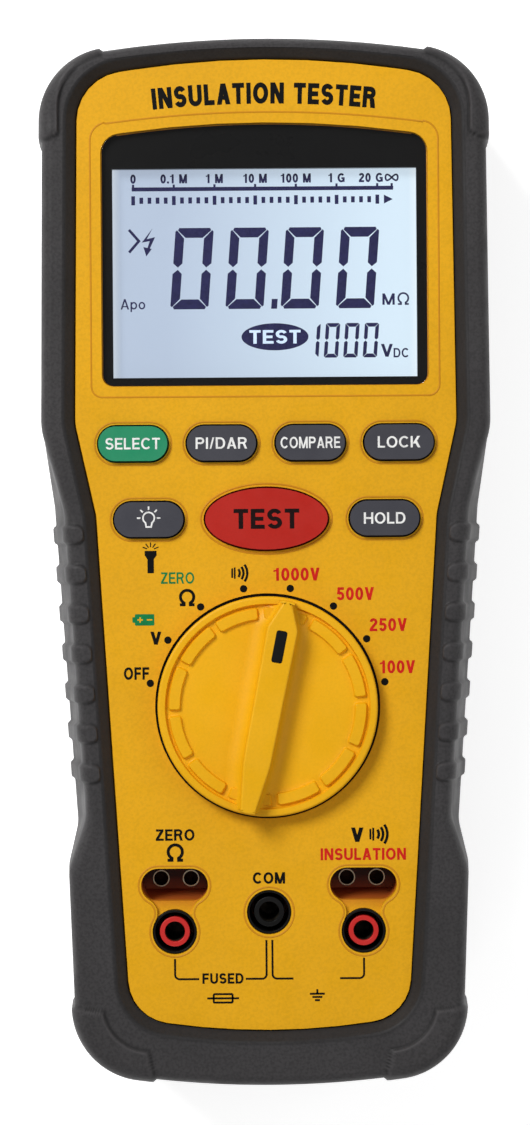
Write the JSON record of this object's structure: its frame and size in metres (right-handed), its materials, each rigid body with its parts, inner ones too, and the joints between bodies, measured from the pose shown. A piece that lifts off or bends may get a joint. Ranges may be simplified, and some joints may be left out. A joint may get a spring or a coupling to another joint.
{
  "type": "insulation resistance tester",
  "caption": "Handheld insulation resistance tester in a rubber holster, with a display, push buttons, a rotary selector, shrouded jacks and a fold-out stand.",
  "frame": {"origin": "middle of the footprint on the surface the tester lies on", "axes": "+Z out of the face, +Y towards the display end, +X to the right as the face is read"},
  "size_m": [0.092, 0.212, 0.052],
  "materials": {
    "holster_rubber": "fine matte grain, soft sheen on the edges",
    "yellow_case": "fine moulded texture, satin",
    "knob_yellow": "smooth satin gloss",
    "button_grey": "smooth satin with white legends",
    "button_green": "smooth satin with a white legend",
    "button_red": "smooth satin with a dark legend",
    "black_plastic": "satin black",
    "white_plastic": "natural nylon white",
    "jack_red": "satin red",
    "lens_clear": "clear polished plastic",
    "lcd_glass": "backlit pale blue-grey display",
    "zebra_rubber": "soft conductive strip",
    "keypad_rubber": "translucent silicone",
    "zinc_steel": "zinc plated",
    "spring_steel": "nickel plated",
    "contact_brass": "bright contact plating",
    "board_green": "solder-mask green",
    "chip_black": "moulded epoxy",
    "ferrite_grey": "ground ferrite",
    "winding_tape": "polyester tape over copper wire",
    "capacitor_yellow": "film capacitor box",
    "relay_orange": "relay cover",
    "fuse_ceramic": "sand-filled ceramic tube",
    "resistor_blue": "lacquered film resistor",
    "disc_blue": "epoxy-dipped disc",
    "cell_jacket": "plain printed jacket"
  },
  "bodies": {
    "case": {"holster": "holster_rubber", "front_case": "yellow_case", "rear_case": "yellow_case", "battery_cover": "yellow_case", "battery_cover_screws": "zinc_steel", "case_screws": "zinc_steel", "display_lens": "lens_clear", "display_bezel": "black_plastic", "lcd_panel": "lcd_glass", "lcd_holder": "white_plastic", "backlight_plate": "white_plastic", "zebra_strips": "zebra_rubber", "keypad_mat": "keypad_rubber", "terminal_block": "black_plastic", "com_jack_sleeve": "black_plastic", "ohm_jack_sleeve": "jack_red", "volt_jack_sleeve": "jack_red", "jack_contacts": "contact_brass", "probe_contacts": "contact_brass", "main_board": "board_green", "power_board": "board_green", "board_connector": "black_plastic", "board_screws": "zinc_steel", "microcontroller": "chip_black", "amplifier_chips": "chip_black", "transformer_core": "ferrite_grey", "transformer_winding": "winding_tape", "film_capacitors": "capacitor_yellow", "range_relays": "relay_orange", "fuse": "fuse_ceramic", "fuse_clips": "contact_brass", "input_resistors": "resistor_blue", "surge_discs": "disc_blue", "buzzer": "black_plastic", "torch_led": "lens_clear", "torch_lens": "lens_clear", "battery_cells": "cell_jacket", "battery_springs": "spring_steel", "battery_plates": "spring_steel"},
    "selector": {"selector_knob": "knob_yellow", "pointer_insert": "black_plastic", "selector_rotor": "white_plastic", "selector_screw": "zinc_steel", "wiper_contacts": "contact_brass", "detent_balls": "spring_steel", "detent_springs": "spring_steel"},
    "stand": {"tilt_stand": "yellow_case"},
    "select_button": {"select_button": "button_green"},
    "index_button": {"index_button": "button_grey"},
    "compare_button": {"compare_button": "button_grey"},
    "lock_button": {"lock_button": "button_grey"},
    "light_button": {"light_button": "button_grey"},
    "test_button": {"test_button": "button_red"},
    "hold_button": {"hold_button": "button_grey"}
  },
  "joints": [
    {"name": "selector_turn", "type": "hinge", "parent": "case", "child": "selector", "pos_m": [0, -0.0291, 0.044], "axis": [0, 0, 1], "range_deg": [-67.5, 90]},
    {"name": "stand_hinge", "type": "hinge", "parent": "case", "child": "stand", "pos_m": [0, 0.082, 0.003], "axis": [1, 0, 0], "range_deg": [0, 75]},
    {"name": "select_press", "type": "slide", "parent": "case", "child": "select_button", "axis": [0, 0, -1], "range_m": [0, 0.001], "stiffness_N_per_m": 1500, "springref_m": -0.0003, "deforming": ["keypad_mat"]},
    {"name": "index_press", "type": "slide", "parent": "case", "child": "index_button", "axis": [0, 0, -1], "range_m": [0, 0.001], "stiffness_N_per_m": 1500, "springref_m": -0.0003, "deforming": ["keypad_mat"]},
    {"name": "compare_press", "type": "slide", "parent": "case", "child": "compare_button", "axis": [0, 0, -1], "range_m": [0, 0.001], "stiffness_N_per_m": 1500, "springref_m": -0.0003, "deforming": ["keypad_mat"]},
    {"name": "lock_press", "type": "slide", "parent": "case", "child": "lock_button", "axis": [0, 0, -1], "range_m": [0, 0.001], "stiffness_N_per_m": 1500, "springref_m": -0.0003, "deforming": ["keypad_mat"]},
    {"name": "light_press", "type": "slide", "parent": "case", "child": "light_button", "axis": [0, 0, -1], "range_m": [0, 0.001], "stiffness_N_per_m": 1500, "springref_m": -0.0003, "deforming": ["keypad_mat"]},
    {"name": "test_press", "type": "slide", "parent": "case", "child": "test_button", "axis": [0, 0, -1], "range_m": [0, 0.001], "stiffness_N_per_m": 1500, "springref_m": -0.0003, "deforming": ["keypad_mat"]},
    {"name": "hold_press", "type": "slide", "parent": "case", "child": "hold_button", "axis": [0, 0, -1], "range_m": [0, 0.001], "stiffness_N_per_m": 1500, "springref_m": -0.0003, "deforming": ["keypad_mat"]}
  ]
}
